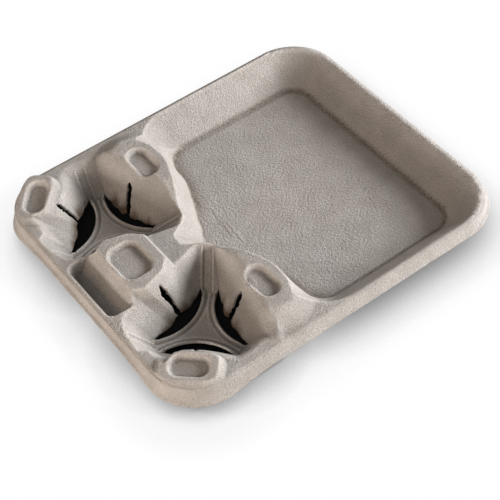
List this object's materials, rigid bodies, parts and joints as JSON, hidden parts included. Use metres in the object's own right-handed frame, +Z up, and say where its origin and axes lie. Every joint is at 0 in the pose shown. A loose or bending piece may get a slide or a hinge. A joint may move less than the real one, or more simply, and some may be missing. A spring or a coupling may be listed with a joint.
{
  "type": "moulded pulp food and cup carrier",
  "caption": "One-piece moulded paper-pulp carrier with a deep rimmed food compartment and lobed cup pockets with tear-open crescents at their floors.",
  "frame": {"origin": "on the surface that the tray rests on, under the middle of its rim", "axes": "+X along the tray from the cup end to the food end, +Y across it, +Z up"},
  "size_m": [0.296, 0.25, 0.037],
  "materials": {
    "pulp": "matte"
  },
  "bodies": {
    "root": {"tray": "pulp"}
  },
  "joints": []
}
